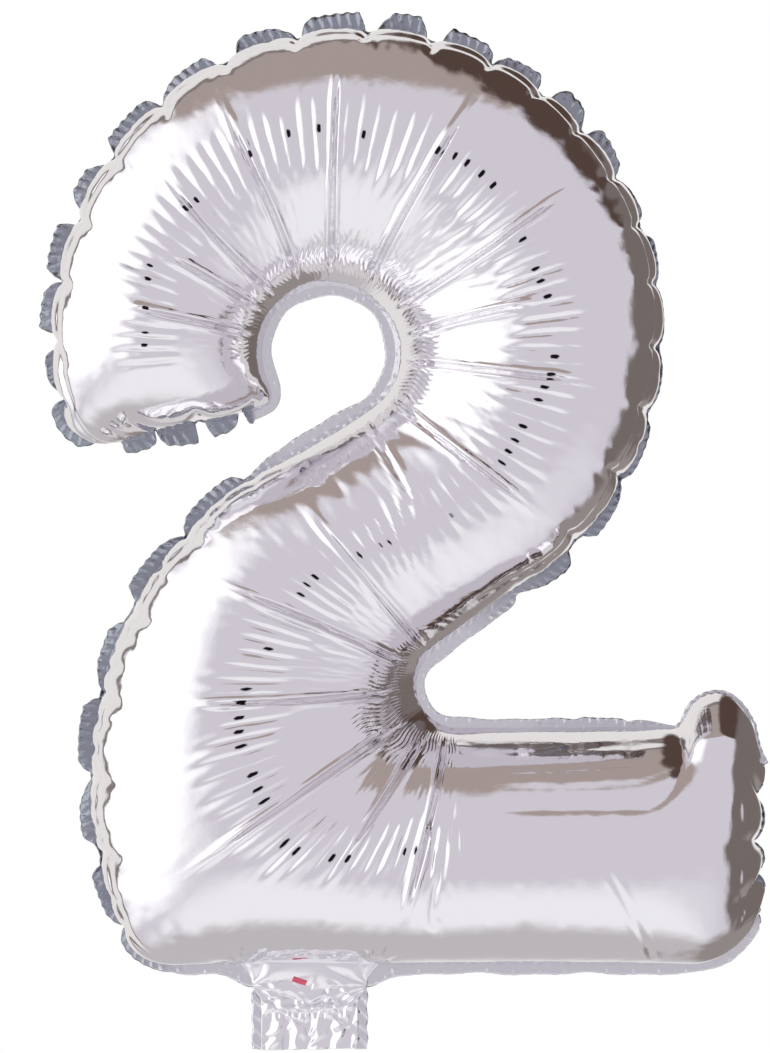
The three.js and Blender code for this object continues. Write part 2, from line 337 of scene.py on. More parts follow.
def stroke_table(height):
    """The plan of the film laid over the stroke, and its height off the seam plane."""
    reach = np.where(across < 0, HEEL_SIDE_ROUNDING, CORNER_ROUNDING)[None]
    reach = np.where((along < stroke_length / 2)[:, None], CORNER_ROUNDING, reach)
    cut = np.clip(reach - to_end[:, None], 0, None)
    rounded = reach - np.sqrt(reach**2 - cut**2)
    share = 1 - rounded / (width[:, None] / 2)
    plan = middle[:, None] + (width[:, None] / 2 * share)[..., None] * (
        to_port[:, None] * across[None, :, None]
    )
    from_port = (1 - across)[None] * width[:, None] / 2
    from_starboard = (1 + across)[None] * width[:, None] / 2
    plan += to_port[:, None] * (port_puff[:, None] * np.exp(-from_port / 8))[..., None]
    plan -= to_port[:, None] * (starboard_puff[:, None] * np.exp(-from_starboard / 8))[..., None]
    forward = np.gradient(middle, axis=0)
    forward /= np.linalg.norm(forward, axis=1)[:, None]
    toe_share = (TOE_SWELL + TOE_LOBES * scallop(toe_turns))[None]
    toe_share = np.exp(-(stroke_length - along) / 8)[:, None] * toe_share
    tip_share = np.exp(-along / 8)[:, None] * TIP_LOBES * scallop(tip_turns)[None]
    plan += forward[:, None] * (toe_share - tip_share)[..., None]
    rise = (1 - np.clip(1 - to_end / END_ROUNDING, 0, 1) ** 2) ** 0.55
    dome = np.clip(1 - across**2, 0, None) ** 0.55
    table = np.zeros((rib_count, ACROSS + 1, 3))
    table[..., 0] = plan[..., 0]
    knob_crown = np.clip(from_port / 7, 0, 1) * np.exp(-(np.clip(from_port - 7, 0, None) / 9))
    knob_rise = KNOB_RISE * (knob**2)[:, None] * knob_crown if height else 0
    table[..., 1] = -height * rise[:, None] * dome[None] - knob_rise
    table[..., 2] = plan[..., 1]
    return table


# ---------------------------------------------------------------- the blown-up film

CLOTH_SCALE = 10  # the solver is steadier on a balloon as tall as a room
RIM_SLACK, TAUT, CREASED, HOLE_RIM_SLACK = 0.13, 0.035, 0.055, 0.05
MOST_SLACK = 0.5
BLOWING_FRAMES = 30
START_DEPTH = 34
SEED_DENT = 0.15


def film_slack():
    """How much longer the cut film is than the smooth dome it starts from.

    It is taut on the outer half of the stroke, has slack for creases on the inner half, and has
    the most along the puffed rim.
    """
    from_port = (1 - across)[None] * width[:, None] / 2
    from_starboard = (1 + across)[None] * width[:, None] / 2
    port_outer = np.clip((outer_is_port - 0.3) / 0.4, 0, 1)[:, None]
    outer = np.where(port_outer > 0.5, from_port, from_starboard)
    inner = width[:, None] - outer
    share = inner / width[:, None]
    bent = np.abs(outer_is_port - 0.5)[:, None] * 2
    creases = np.exp(-(((share - 0.36) / 0.19) ** 2)) * (CREASED - TAUT) * (0.1 + 0.9 * bent)
    rim = np.exp(-((outer / 8) ** 2)) * (RIM_SLACK - TAUT) * puffed_rib[:, None]
    hole = np.exp(-((inner / 7) ** 2)) * (HOLE_RIM_SLACK - TAUT) * bent
    return TAUT + creases + rim + hole


def add_group(obj, name, weights):
    group = obj.vertex_groups.new(name=name)
    levels = np.round(weights, 2)
    for level in np.unique(levels):
        members = np.nonzero(levels == level)[0]
        group.add([int(m) for m in members], float(level), "REPLACE")


def blow_up(obj, i, j):
    rim = (i == 0) | (i == rib_count - 1) | (j == 0) | (j == ACROSS)
    add_group(obj, "seam", rim.astype(float))
    obj.vertex_groups["seam"].remove([int(k) for k in np.nonzero(~rim)[0]])
    add_group(obj, "slack", 1 - np.clip(film_slack() / MOST_SLACK, 0, 1)[i, j])
    pick(obj)
    bpy.ops.object.modifier_add(type="CLOTH")
    cloth = obj.modifiers[-1]
    film = cloth.settings
    film.vertex_group_mass = "seam"
    film.vertex_group_shrink = "slack"
    film.shrink_min = -MOST_SLACK
    film.shrink_max = 0.0
    film.quality = 6
    # thin film: hard to stretch beside how easily it creases
    film.mass = 0.3
    film.air_damping = 1.0
    film.tension_stiffness = 15
    film.compression_stiffness = film.shear_stiffness = 4.5
    film.bending_stiffness = 0.2
    film.tension_damping = film.compression_damping = film.shear_damping = 1
    film.bending_damping = 0.5
    film.use_pressure = True
    film.uniform_pressure_force = 10
    film.effector_weights.gravity = 0
    cloth.point_cache.frame_start = 1
    cloth.point_cache.frame_end = BLOWING_FRAMES
    for number in range(1, BLOWING_FRAMES + 1):
        bpy.context.scene.frame_set(number)
    bpy.ops.object.modifier_apply(modifier=cloth.name)
    bpy.context.scene.frame_set(1)


def film_places(obj):
    """How far along the stroke, and from its port edge, each point of a film is."""
    loops = np.empty(len(obj.data.loops), np.int32)
    obj.data.loops.foreach_get("vertex_index", loops)
    uv = np.empty(len(loops) * 2, np.float32)
    obj.data.uv_layers.active.data.foreach_get("uv", uv)
    places = np.zeros((len(obj.data.vertices), 2))
    places[loops] = uv.reshape(-1, 2) / MM
    return places.T


PLEAT_PITCH = 3.7
PLEAT_HEIGHT = 0.95
PUCKERS_PER_PLEAT, PUCKER_HEIGHT = 1.35, 0.34
MOST_PLEATS = 140  # more than go round either bend
FOLD_DEPTH = 1.9
FOLD_HALF_WIDTH = 0.65
ROLL_WIDTH, ROLL_RISE, ROLL_GROOVE = 25.0, 0.9, 0.7
ROLL_ROUND_START, ROLL_END = 40.0, 24.0  # from the toe's end


def gathers(plan, centre, pleat_radius, share, folds, from_share, to_share, seed):
    """The relief of the film gathered round the inside of a bend.

    Short pleats stand side by side across the crown, long sharp folds run between them from the
    inner seam, each ending in a dart, and tight puckers line the seam itself.
    """
    off = plan - centre
    radius = np.linalg.norm(off, axis=1)
    turn = np.degrees(np.arctan2(off[:, 1], off[:, 0]))
    turn = np.where(turn < -100, turn + 360, turn)
    pleat = np.radians(turn + 110) * pleat_radius / PLEAT_PITCH
    rng = np.random.RandomState(seed)
    numbers = np.arange(0, MOST_PLEATS) + 0.5
    tall, starts, ends, drift = (
        np.interp(pleat, numbers, rng.uniform(-1, 1, MOST_PLEATS)) for _ in range(4)
    )
    pleat = pleat + 0.12 * drift * np.sin(share * 9)
    start = from_share + 0.035 * starts
    end = to_share + 0.05 * ends
    band = stepped(share, start - 0.03, start + 0.04) * (1 - stepped(share, end - 0.07, end + 0.01))
    ridge = np.abs(np.sin(math.pi * pleat)) ** 0.75 - 0.62
    relief = PLEAT_HEIGHT * (1 + 0.45 * tall) * band * ridge
    pucker = pleat * PUCKERS_PER_PLEAT + 0.5 * np.sin(share * 60)
    rim = stepped(share, 0.015, 0.05) * (1 - stepped(share, 0.1 + 0.03 * ends, 0.18 + 0.04 * ends))
    puckers = np.abs(np.sin(math.pi * pucker)) ** 0.8 - 0.6
    relief += PUCKER_HEIGHT * (1 + 0.5 * starts) * rim * puckers
    for fold, (angle, reach) in enumerate(folds):
        bow = 1.1 * math.sin(fold * 2.4) * np.sin(share * 5)
        aside = radius * np.radians(turn - angle) + bow
        length = stepped(share, 0.02, 0.1) * (1 - stepped(share, reach - 0.12, reach))
        relief -= FOLD_DEPTH * np.exp(-((aside / FOLD_HALF_WIDTH) ** 2)) * length
        relief += 0.42 * FOLD_DEPTH * np.exp(-(((np.abs(aside) - 1.5) / 0.8) ** 2)) * length
        dart = np.exp(-((aside / 1.5) ** 2) - (((share - reach + 0.045) / 0.075) ** 2))
        relief += 1.4 * dart - 1.1 * np.exp(-((aside / 0.6) ** 2)) * dart
    # dents where some of the pleats cross the crown, pressed in a little; the same mask carries the
    # painted shade that darkens the film's colour there
    picked = rng.uniform(0, 1, MOST_PLEATS)[np.clip(pleat.astype(int), 0, MOST_PLEATS - 1)] < 0.42
    crown = (from_share + to_share) / 2 + 0.02 * np.sin(pleat * 0.5)
    ahead = (share - crown) * 80
    dent_and_shade = np.exp(-(((pleat % 1 - 0.5) / 0.14) ** 4) - ((ahead / 1.4) ** 4)) * picked
    return relief - 0.25 * dent_and_shade, dent_and_shade


# Where the long folds lie round the hole and round the crotch, in degrees, and how far they reach
HOLE_FOLDS = (
    (168, 0.6), (150, 0.5), (134, 0.66), (113, 0.74), (88, 0.78), (60, 0.72),
    (33, 0.74), (12, 0.5), (-7, 0.68), (-38, 0.72), (-62, 0.5),
)
CROTCH_FOLDS = ((130, 0.7), (156, 0.68), (183, 0.62), (214, 0.66), (236, 0.5), (257, 0.72))


def gather(obj):
    """Adds to a blown-up film the fine relief that is too small for the simulation."""
    run, from_port = film_places(obj)
    co = coords(obj)
    plan = co[:, [0, 2]] / MM - np.array([CROTCH_X, CROTCH_Z])
    crotch, _, hook, _ = centres()
    here = np.interp(run, along, width)
    outer = np.interp(run, along, outer_is_port)
    port_share = np.clip(from_port / here, 0, 1)
    round_hole = stepped(outer, 0.35, 0.75) * stepped(run, 14, 30)
    to_toe = along[stretch_of == HEEL_STRETCH][-1]
    round_crotch = stepped(1 - outer, 0.3, 0.65) * (1 - stepped(run, to_toe - 4, to_toe + 10))
    bowl_relief, bowl_dent_shade = gathers(plan, hook, 54, 1 - port_share, HOLE_FOLDS, 0.41, 0.69, 3)
    heel_relief, heel_dent_shade = gathers(plan, crotch, 56, port_share, CROTCH_FOLDS, 0.36, 0.62, 8)
    relief = round_hole * bowl_relief + round_crotch * heel_relief
    dent_shade = round_hole**2 * bowl_dent_shade + round_crotch**2 * heel_dent_shade
    # painted shade: the dents' mask is stored on the film so that its material darkens the colour there
    dent_shade_of = obj.data.attributes.new("dent_and_shade", "FLOAT", "POINT")
    dent_shade_of.data.foreach_set("value", dent_shade.astype(np.float32))
    # the crease inside each puff of the outer seam
    curl = np.interp(run, along, port_curl)
    puff_edge = 5.0 + 0.7 * np.sin(run / 9.0)
    relief -= 0.6 * curl * np.exp(-(((from_port - puff_edge) / 0.9) ** 2))
    curl = np.interp(run, along, starboard_curl)
    relief -= 0.6 * curl * np.exp(-(((here - from_port - puff_edge) / 0.9) ** 2))
    # the roll along the top of the foot: a long tube of film that ends round at the toe's notch
    from_toe = stroke_length - run
    past = np.clip((ROLL_ROUND_START - from_toe) / (ROLL_ROUND_START - ROLL_END), 0, None)
    edge = (np.hypot(past, from_port / ROLL_WIDTH) - 1) * ROLL_WIDTH * 0.8
    on_foot = stepped(run, to_toe + 4, to_toe + 26) * (1 - stepped(past, 1.0, 1.2))
    relief += on_foot * ROLL_RISE * stepped(-edge, 0, 9)
    relief -= on_foot * ROLL_GROOVE * np.exp(-((edge / 1.6) ** 2))
    for middle_line, tall in ((6.5, 0.16), (12.5, 0.2), (18, 0.14)):
        line = middle_line * (1 - 0.3 * past) + 0.8 * np.sin(run / 13 + middle_line)
        relief -= on_foot * tall * np.exp(-(((from_port - line) / 0.9) ** 2)) * (past < 0.9)
    # the crease down the inside of the toe's lobes
    lobes = 7.5 + 1.6 * np.sin(from_port / 3.5)
    beside = stepped(from_port, 14, 20) * (1 - stepped(from_port, here - 16, here - 8))
    relief -= 0.6 * beside * np.exp(-(((from_toe - lobes) / 1.0) ** 2))
    # the creases that fan out into the foot from the two corners of the neck
    for corner, turns in ((TAIL_X[0] - 3, 8.0), (TAIL_X[1] + 3, 11.0)):
        off = plan - np.array([corner - CROTCH_X, FOOT_BOTTOM - CROTCH_Z])
        spot = np.hypot(off[:, 0], off[:, 1])
        fan = np.abs(np.sin(np.arctan2(off[:, 1], off[:, 0]) * turns / 2 + 0.6)) ** 0.7 - 0.6
        relief += 0.75 * fan * np.exp(-((spot / 10) ** 2)) * stepped(spot, 0.5, 4)
    normals = np.empty(len(co) * 3, np.float32)
    obj.data.vertices.foreach_get("normal", normals)
    normals = normals.reshape(-1, 3)
    keep = np.clip(-co[:, 1] / MM + SEAM_Y, 0, 6) / 6
    set_coords(obj, co + normals * (relief * keep * MM)[:, None])


def calm_straight_edges(obj, i, j, table):
    """Takes the ripples out of the film along the straight stretches of the seam."""
    start = table * MM * CLOTH_SCALE
    blown = np.zeros_like(start)
    blown[i, j] = coords(obj)
    moved = blown - start
    reach = 16
    weights = np.hanning(2 * reach + 1)[:, None, None]
    padded = np.pad(moved, ((reach, reach), (0, 0), (0, 0)), "edge")
    calm = sum(padded[k : k + rib_count] * weights[k] for k in range(2 * reach + 1)) / weights.sum()
    straight = 1 - np.abs(outer_is_port - 0.5)[:, None] * 2
    from_port = (1 - across)[None] * width[:, None] / 2
    from_starboard = (1 + across)[None] * width[:, None] / 2
    beside = np.exp(-((from_port / 18) ** 2)) + np.exp(-((from_starboard / 18) ** 2))
    by_neck = 1 - puffed_rib[:, None]
    share = (np.clip(np.maximum(straight * 1.3, by_neck), 0, 1) * np.clip(beside, 0, 1) * 0.95)[..., None]
    set_coords(obj, (start + moved * (1 - share) + calm * share)[i, j])


def film_panel():
    """The front film, blown up from a low dome."""
    table = stroke_table(START_DEPTH)
    lengths = np.zeros((rib_count, ACROSS + 1, 2))
    lengths[..., 0] = along[:, None] * MM
    lengths[..., 1] = (1 - across)[None] * width[:, None] / 2 * MM
    obj, i, j = sheet_from("front_film", table * MM * CLOTH_SCALE, lengths)
    # small seeded dents, for the creases to start from
    seeds = np.random.RandomState(4).normal(0, SEED_DENT, (rib_count, ACROSS + 1))
    seeds[[0, -1]] = 0
    seeds[:, [0, -1]] = 0
    co = coords(obj)
    co[:, 1] += seeds[i, j] * MM * CLOTH_SCALE
    set_coords(obj, co)
    face_towards(obj, (0, -1, 0))
    blow_up(obj, i, j)
    calm_straight_edges(obj, i, j, table)
    co = coords(obj) / CLOTH_SCALE
    deepest = -co[:, 1].min()
    co[:, 1] = np.minimum(co[:, 1] * HALF_DEPTH * MM / deepest, -0.0002)
    co += np.array([CROTCH_X, SEAM_Y, CROTCH_Z]) * MM
    set_coords(obj, co)
    pick(obj)
    bpy.ops.object.modifier_add(type="SUBSURF")
    obj.modifiers[-1].levels = obj.modifiers[-1].render_levels = 1
    obj.modifiers[-1].uv_smooth = "NONE"
    apply_all(obj)
    obj.vertex_groups.clear()
    gather(obj)
    smooth(obj)
    return obj


# ---------------------------------------------------------------- colours and materials


def colour(code):
    """An sRGB hex code as the linear colour the shaders want."""
    parts = [int(code[k : k + 2], 16) / 255 for k in (1, 3, 5)]
    return tuple(c / 12.92 if c <= 0.04045 else ((c + 0.055) / 1.055) ** 2.4 for c in parts) + (1,)


def node(tree, kind, settings=None, **links):
    """Adds a node, with its settings and what goes into its sockets."""
    made = tree.nodes.new(kind)
    for key, value in (settings or {}).items():
        setattr(made, key, value)
    for key, value in links.items():
        socket = made.inputs[int(key[1:])] if key[1:].isdigit() else made.inputs[key.replace("_", " ")]
        if isinstance(value, bpy.types.NodeSocket):
            tree.links.new(value, socket)
        else:
            socket.default_value = value
    return made


def blank(name):
    material = bpy.data.materials.new(name)
    material.use_nodes = True
    tree = material.node_tree
    tree.nodes.clear()
    return material, tree


def wear(obj, material):
    obj.data.materials.clear()
    obj.data.materials.append(material)


def metallised_film():
    """Vacuum-metallised nylon film: a mirror with faint rolling marks and tiny crumples, and painted shade
    in the dents of its pleats.
    """
    material, tree = blank("metallised_nylon_film")
    place_at = node(tree, "ShaderNodeTexCoord").outputs["Object"]
    crumple = node(
        tree, "ShaderNodeTexNoise", Vector=place_at, Scale=1 / 0.009, Detail=3.0, Roughness=0.45
    )
    grain = node(tree, "ShaderNodeTexNoise", Vector=place_at, Scale=1 / 0.0016, Detail=2.0)
    low = node(tree, "ShaderNodeBump", Strength=0.22, Distance=0.0006, Height=crumple.outputs[0])
    fine = node(
        tree,
        "ShaderNodeBump",
        Strength=0.05,
        Distance=0.0002,
        Height=grain.outputs[0],
        Normal=low.outputs[0],
    )
    haze = node(
        tree,
        "ShaderNodeMapRange",
        Value=grain.outputs[0],
        From_Min=0.35,
        From_Max=0.7,
        To_Min=0.05,
        To_Max=0.1,
    )
    # painted shade: the dents in the pleats get a near-black base colour, standing in for the light that
    # cannot come back out of them
    dent_and_shade = node(tree, "ShaderNodeAttribute", {"attribute_name": "dent_and_shade"})
    dark = node(tree, "ShaderNodeMapRange", Value=dent_and_shade.outputs["Fac"], From_Min=0.35, From_Max=0.6)
    tone = node(
        tree,
        "ShaderNodeMix",
        {"data_type": "RGBA"},
        Factor=dark.outputs[0],
        _6=colour("#EDEBEE"),
        _7=colour("#1E1A1C"),
    )
    shader = node(
        tree,
        "ShaderNodeBsdfPrincipled",
        Base_Color=tone.outputs[2],
        Metallic=1.0,
        Roughness=haze.outputs[0],
        Normal=fine.outputs[0],
    )
    node(tree, "ShaderNodeOutputMaterial", Surface=shader.outputs[0])
    return material


def sealed_film():
    """The same film after the hot jaw: duller, with the jaw's cross-hatching pressed in, and painted shade
    on its ears.
    """
    material, tree = blank("heat_sealed_film")
    run = node(tree, "ShaderNodeTexCoord").outputs["UV"]
    hatch_pitch = 0.0016
    lines = []
    for turn in (45, -45):
        turned = node(tree, "ShaderNodeMapping", Vector=run, Rotation=(0, 0, math.radians(turn)))
        wave = node(
            tree,
            "ShaderNodeTexWave",
            {"wave_type": "BANDS", "bands_direction": "X"},
            Vector=turned.outputs[0],
            Scale=1 / hatch_pitch / 20 * math.pi,
        )
        lines.append(wave.outputs["Fac"])
    hatch = node(tree, "ShaderNodeMath", {"operation": "MULTIPLY"}, _0=lines[0], _1=lines[1])
    place_at = node(tree, "ShaderNodeTexCoord").outputs["Object"]
    crumple = node(tree, "ShaderNodeTexNoise", Vector=place_at, Scale=1 / 0.004, Detail=4.0)
    soft = node(tree, "ShaderNodeBump", Strength=0.5, Distance=0.0008, Height=crumple.outputs[0])
    pressed = node(
        tree,
        "ShaderNodeBump",
        Strength=0.5,
        Distance=0.0003,
        Height=hatch.outputs[0],
        Normal=soft.outputs[0],
    )
    # painted shade: the crinkled ears between the puffs get a darker base colour than the flat band,
    # standing in for the light they catch less of
    ear = node(tree, "ShaderNodeAttribute", {"attribute_name": "ear"})
    tone = node(
        tree,
        "ShaderNodeMix",
        {"data_type": "RGBA"},
        Factor=ear.outputs["Fac"],
        _6=colour("#DCDBE0"),
        _7=colour("#989CA6"),
    )
    shader = node(
        tree,
        "ShaderNodeBsdfPrincipled",
        Base_Color=tone.outputs[2],
        Metallic=1.0,
        Roughness=0.2,
        Normal=pressed.outputs[0],
    )
    node(tree, "ShaderNodeOutputMaterial", Surface=shader.outputs[0])
    return material


def valve_film():
    """Blown polyethylene film: clear and soft, a little milky, wrinkled by handling."""
    material, tree = blank("clear_polyethylene_film")
    place_at = node(tree, "ShaderNodeTexCoord").outputs["Object"]
    crumple = node(tree, "ShaderNodeTexNoise", Vector=place_at, Scale=1 / 0.005, Detail=4.0)
    soft = node(tree, "ShaderNodeBump", Strength=0.5, Distance=0.0006, Height=crumple.outputs[0])
    shader = node(
        tree,
        "ShaderNodeBsdfPrincipled",
        Base_Color=colour("#E9EDEE"),
        Roughness=0.18,
        IOR=1.51,
        Alpha=0.55,
        Normal=soft.outputs[0],
    )
    node(tree, "ShaderNodeOutputMaterial", Surface=shader.outputs[0])
    return material


def marking_ink():
    """Flexographic ink: flat red, broken where the film's texture shows through."""
    material, tree = blank("flexographic_red_ink")
    place_at = node(tree, "ShaderNodeTexCoord").outputs["Object"]
    breaks = node(tree, "ShaderNodeTexNoise", Vector=place_at, Scale=1 / 0.0012, Detail=3.0)
    tone = node(
        tree,
        "ShaderNodeMix",
        {"data_type": "RGBA"},
        Factor=breaks.outputs[0],
        _6=colour("#C92A4B"),
        _7=colour("#E4708A"),
    )
    shader = node(
        tree,
        "ShaderNodeBsdfPrincipled",
        Base_Color=tone.outputs[2],
        Roughness=0.45,
    )
    node(tree, "ShaderNodeOutputMaterial", Surface=shader.outputs[0])
    return material


film_finish = metallised_film()
sealed_finish = sealed_film()
valve_finish = valve_film()
ink_finish = marking_ink()

# ---------------------------------------------------------------- the pieces

front_film = film_panel()
wear(front_film, film_finish)

back_film = front_film.copy()
back_film.data = front_film.data.copy()
back_film.name = back_film.data.name = "back_film"
bpy.context.collection.objects.link(back_film)
mirrored = coords(back_film)
mirrored[:, 1] = 2 * SEAM_Y * MM - mirrored[:, 1]
set_coords(back_film, mirrored)
face_towards(back_film, (0, 1, 0))

for film, panel in ((front_film, "front_panel"), (back_film, "back_panel")):
    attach(film, "balloon")
    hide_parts(panel)


# ---------------------------------------------------------------- the sealed band

BAND_STEP = 0.7
BOWL_EAR, HEEL_EAR, TOE_EAR, TIP_EAR = 5.6, 3.6, 0.2, 4.6
NARROW = 3.2
NECK_FLARE = 4.5
TAIL_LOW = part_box("tail_seam_left")[0].z / MM


def rim_of(table):
    """The seam line once round, with each point's turn of the puffs, how much it is puffed and
    how far its ears stand out."""
    plan = table[..., [0, 2]]
    share = port_run / port_run[-1]  # the ears are folded away down the bowl's right side
    bowl_ear = BOWL_EAR - 3.2 * stepped(share, 0.43, 0.49) + 1.6 * stepped(share, 0.64, 0.68)
    whole = [
        (plan[:, 0], port_turns, port_curl, bowl_ear),
        (plan[-1, 1:], toe_turns[1:] + 40, np.ones(ACROSS), np.full(ACROSS, TOE_EAR)),
        (
            plan[-2::-1, -1],
            starboard_turns[-2::-1] + 80,
            starboard_curl[-2::-1],
            np.full(rib_count - 1, HEEL_EAR),
        ),
        (plan[0, -2:0:-1], tip_turns[-2:0:-1] + 120, np.ones(ACROSS - 1), np.full(ACROSS - 1, TIP_EAR)),
    ]
    return (np.concatenate([part[k] for part in whole]) for k in range(4))


def seal_band():
    points, turns, curl, ear_size = rim_of(stroke_table(0))
    run = travelled(points)
    count = round(run[-1] / BAND_STEP)
    t = np.linspace(0, run[-1], count)
    fine = np.stack([np.interp(t, run, points[:, k]) for k in (0, 1)], 1)
    puffed = np.interp(t, run, curl)
    ear_turn = np.interp(t, run, turns)
    ahead = np.gradient(fine, axis=0)
    weights = np.hanning(15) / np.hanning(15).sum()
    for k in (0, 1):
        ahead[:, k] = np.convolve(np.pad(ahead[:, k], 7, "wrap"), weights, "valid")
    ahead /= np.linalg.norm(ahead, axis=1)[:, None]
    outward = np.stack([-ahead[:, 1], ahead[:, 0]], 1)
    lopsided = ear_turn + 0.07 * np.sin(2 * math.pi * ear_turn + np.floor(ear_turn) * 2.4)
    rise = np.clip(2.1 * np.abs(np.sin(math.pi * lopsided)) - 0.55, 0, 1) ** 0.75
    rise *= 0.93 + 0.5 * (lopsided % 1 - 0.5) * np.sin(np.floor(ear_turn) * 2.4)
    sizes = np.random.RandomState(11).uniform(0.72, 1.12, 200)[np.floor(ear_turn).astype(int)]
    ear = 0.4 + np.interp(t, run, ear_size) * rise * sizes
    ear *= 1 + 0.12 * np.sin(t / 8.3) * np.sin(t / 29.1) + 0.05 * np.sin(t * 1.9)
    # between the puffs the band runs straight, uneven only as far as the hot jaw left it
    straight = NARROW + 0.35 * np.sin(t / 6.1) + 0.25 * np.sin(t / 2.9 + 1)
    reach = ear * puffed + straight * (1 - puffed)
    low = fine[:, 1] + CROTCH_Z < FOOT_BOTTOM + 5
    beside = np.minimum(abs(fine[:, 0] + CROTCH_X - TAIL_X[0]), abs(fine[:, 0] + CROTCH_X - TAIL_X[1]))
    flare = low * np.exp(-((beside / 7) ** 2))
    reach = reach * (1 - flare) + (NARROW + NECK_FLARE) * flare
    on_knob = stepped(fine[:, 0], FOOT_LENGTH - 40, FOOT_LENGTH - 26)
    on_knob *= stepped(fine[:, 1], -CROTCH_RADIUS - 18, -CROTCH_RADIUS - 5)
    reach = reach * (1 - on_knob) + 0.7 * on_knob
    # the band is left out where the tail comes through
    x, z = fine[:, 0] + CROTCH_X, fine[:, 1] + CROTCH_Z
    at_neck = (x > TAIL_X[0] + 1.5) & (x < TAIL_X[1] - 1.5) & (z < FOOT_BOTTOM + 5)
    start = int(np.nonzero(at_neck)[0].max()) + 1
    order = np.roll(np.arange(count), -start)
    order = order[~at_neck[order]]
    shares = np.linspace(-0.12, 1, 8)
    table = np.zeros((len(order), len(shares), 3))
    lengths = np.zeros((len(order), len(shares), 2))
    for column, share in enumerate(shares):
        out = fine[order] + outward[order] * (reach[order] * share)[:, None]
        lean = 1.3 * np.sin(math.pi * ear_turn[order] + 0.8) * puffed[order]
        crimp = 0.62 * np.sin(t[order] * 2 * math.pi / 2.9 + 3 * share) * (0.3 + puffed[order])
        table[:, column, 0] = out[:, 0] + CROTCH_X
        table[:, column, 1] = SEAM_Y + max(share, 0) ** 1.5 * lean + max(share, 0) * crimp
        table[:, column, 2] = out[:, 1] + CROTCH_Z
        lengths[:, column, 0] = t[order] * MM
        lengths[:, column, 1] = reach[order] * share * MM
    obj, i, _ = sheet_from("seal_band", table * MM, lengths)
    # painted shade: how far the band is puffed into ears is stored so that the sealed film darkens its
    # colour there
    ear_shade_of = obj.data.attributes.new("ear", "FLOAT", "POINT")
    ear_shade_of.data.foreach_set("value", puffed[order][i].astype(np.float32))
    return obj


def thicken(obj, thickness):
    pick(obj)
    bpy.ops.object.modifier_add(type="SOLIDIFY")
    obj.modifiers[-1].thickness = thickness
    obj.modifiers[-1].offset = 0
    apply_all(obj)
    smooth(obj)


band = seal_band()
thicken(band, 0.35 * MM)
wear(band, sealed_finish)
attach(band, "balloon")
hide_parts("edge_seam")

# ---------------------------------------------------------------- the tail and the valve


NECK_TOP = 5.0  # how far up inside the panel the neck's film starts
NECK_DEPTHS = (
    # distance below the seam line, distance of the film from the middle plane
    (-9.0, 5.4), (-3.0, 3.5), (0.0, 3.0), (2.5, 2.5), (5.0, 1.9), (8.0, 1.2), (12.0, 0.65),
    (16.0, 0.4), (25.0, 0.35), (45.0, 0.3),
)


def tail_half_width(below):
    """Half the width of the tail's film: wide shoulders at the neck, then straight sides."""
    half = (TAIL_X[1] - TAIL_X[0]) / 2
    return half - 3.2 * stepped(below, 6, 13) + 9.0 * (1 - stepped(below, -7, 6))


def tail_relief(x, below, side):
    """How far the tail's film stands off the middle plane.

    The neck is a pouch that the body's film runs into, with pleats that fan out from its two
    corners. Under it are a pressed fold with short puckers and loose flutes down to the mouth.
    """
    centre = (TAIL_X[0] + TAIL_X[1]) / 2
    half = tail_half_width(below)
    inside = np.clip(1 - ((x - centre) / (half + 0.3)) ** 2, 0, 1)
    reach, depth = zip(*NECK_DEPTHS)
    lift = np.interp(below + 2.0 * (1 - inside), reach, depth) * inside**0.6
    for corner, turns in ((-1, 12.0), (1, 15.0)):
        off_x = (x - centre) * corner - half - 1
        spot = np.hypot(off_x, below - 7)
        fan = np.arctan2(below - 7, off_x)
        pleats = np.abs(np.sin(fan * turns / 2 + side)) ** 0.7 - 0.6
        lift = lift + 1.3 * stepped(below, -4, 1) * pleats * np.exp(-(((spot - 8) / 8) ** 2)) * inside**0.5
    line = below - 14.5 + 0.03 * (x - centre)
    lift = lift + 1.0 * np.exp(-((line / 1.1) ** 2)) * inside**0.3
    puckers = np.abs(np.sin(x * math.pi / 2.2)) - 0.6
    lift = lift + 0.7 * puckers * np.exp(-(((line - 2.4) / 1.6) ** 2)) * inside**0.5
    flutes = np.abs(np.sin((x - centre + 0.06 * below) * math.pi / 7.3 + side * 0.4)) ** 0.6 - 0.6
    lift = lift + 1.9 * flutes * stepped(below, 17, 22) * inside**0.3
    first = np.sin(0.55 * x + 1.9 * np.sin(0.33 * below + 0.8 * np.sin(0.6 * x) + side))
    second = np.sin(0.62 * below + 2.1 * np.sin(0.41 * x + 0.9 * np.sin(0.5 * below)))
    lift = lift + 0.9 * (0.5 - np.abs(first + second) / 2) * stepped(below, 3, 9)
    return 0.62 * stepped(below, -5, 1) + np.clip(lift, 0.0, None)


def tail_film(name, side):
    rows, columns = 110, 110
    centre = (TAIL_X[0] + TAIL_X[1]) / 2
    depth = np.linspace(-NECK_TOP, FOOT_BOTTOM - TAIL_LOW, rows)
    table = np.zeros((rows, columns, 3))
    lengths = np.zeros((rows, columns, 2))
    for row, below in enumerate(depth):
        half = tail_half_width(below)
        x = np.linspace(centre - half, centre + half, columns)
        table[row, :, 0] = x
        table[row, :, 1] = SEAM_Y + side * tail_relief(x, below, side)
        table[row, :, 2] = FOOT_BOTTOM - below + 0.02 * (x - centre) * stepped(below, 18, 28)
        lengths[row, :, 0] = x * MM
        lengths[row, :, 1] = -below * MM
    obj, _, _ = sheet_from(name, table * MM, lengths)
    face_towards(obj, (0, side, 0))
    thicken(obj, 0.12 * MM)
    wear(obj, film_finish)
    cross_the_fold(obj)
    return obj


def cross_the_fold(obj):
    """Bakes the piece's placement into its mesh; the film is not bent where the neck meets the tail."""
    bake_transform(obj)


